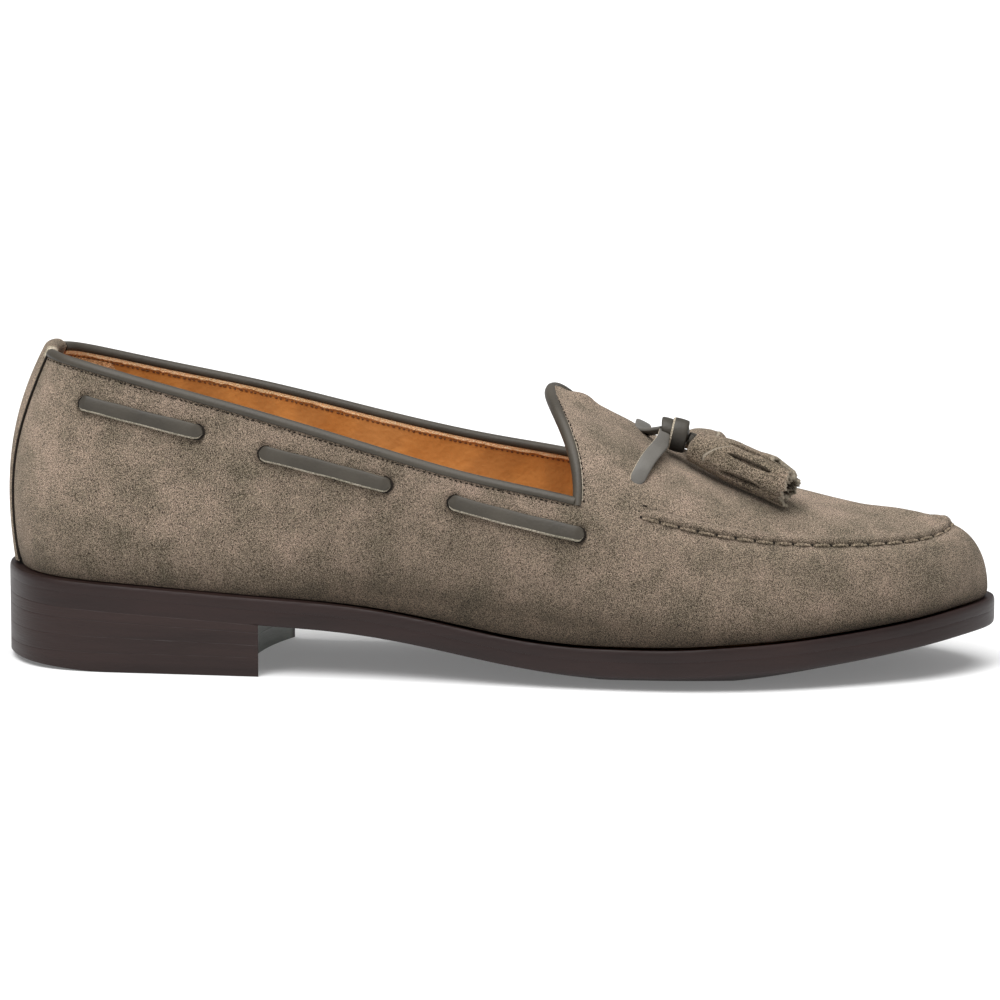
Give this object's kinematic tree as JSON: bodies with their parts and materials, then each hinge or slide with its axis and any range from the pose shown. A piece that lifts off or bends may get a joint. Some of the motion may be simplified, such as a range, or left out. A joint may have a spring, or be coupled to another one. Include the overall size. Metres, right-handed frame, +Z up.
{
  "type": "tassel loafer",
  "caption": "Low slip-on dress shoe with a raised apron seam, a lace threaded round the collar, a knot with tassels on the vamp, and a stacked heel.",
  "frame": {"origin": "on the floor under the middle of the sole's bounding box", "axes": "+X towards the toe, +Y towards the inner side of the right foot, +Z up"},
  "size_m": [0.2968, 0.1014, 0.0942],
  "materials": {
    "suede": "napped suede",
    "binding_leather": "smooth, satin",
    "lace_leather": "smooth, satin, with pale raw edges",
    "lining_leather": "smooth, satin",
    "sole_leather": "burnished, satin",
    "heel_leather": "burnished, satin",
    "top_piece": "matte"
  },
  "bodies": {
    "root": {"apron_seam": "suede", "backstay": "suede", "heel_lift_1": "heel_leather", "heel_lift_2": "heel_leather", "heel_lift_3": "heel_leather", "heel_top_piece": "top_piece", "insole": "lining_leather", "lace_end_lateral": "lace_leather", "lace_end_medial": "lace_leather", "lace_knot": "lace_leather", "lace_lateral_front": "lace_leather", "lace_lateral_middle": "lace_leather", "lace_lateral_rear": "lace_leather", "lace_medial_front": "lace_leather", "lace_medial_middle": "lace_leather", "lace_medial_rear": "lace_leather", "midsole": "sole_leather", "outsole": "sole_leather", "tassel_lateral": "suede", "tassel_medial": "suede", "topline_binding": "binding_leather", "upper": "suede", "vamp_lace_lateral": "lace_leather", "vamp_lace_medial": "lace_leather"}
  },
  "joints": []
}
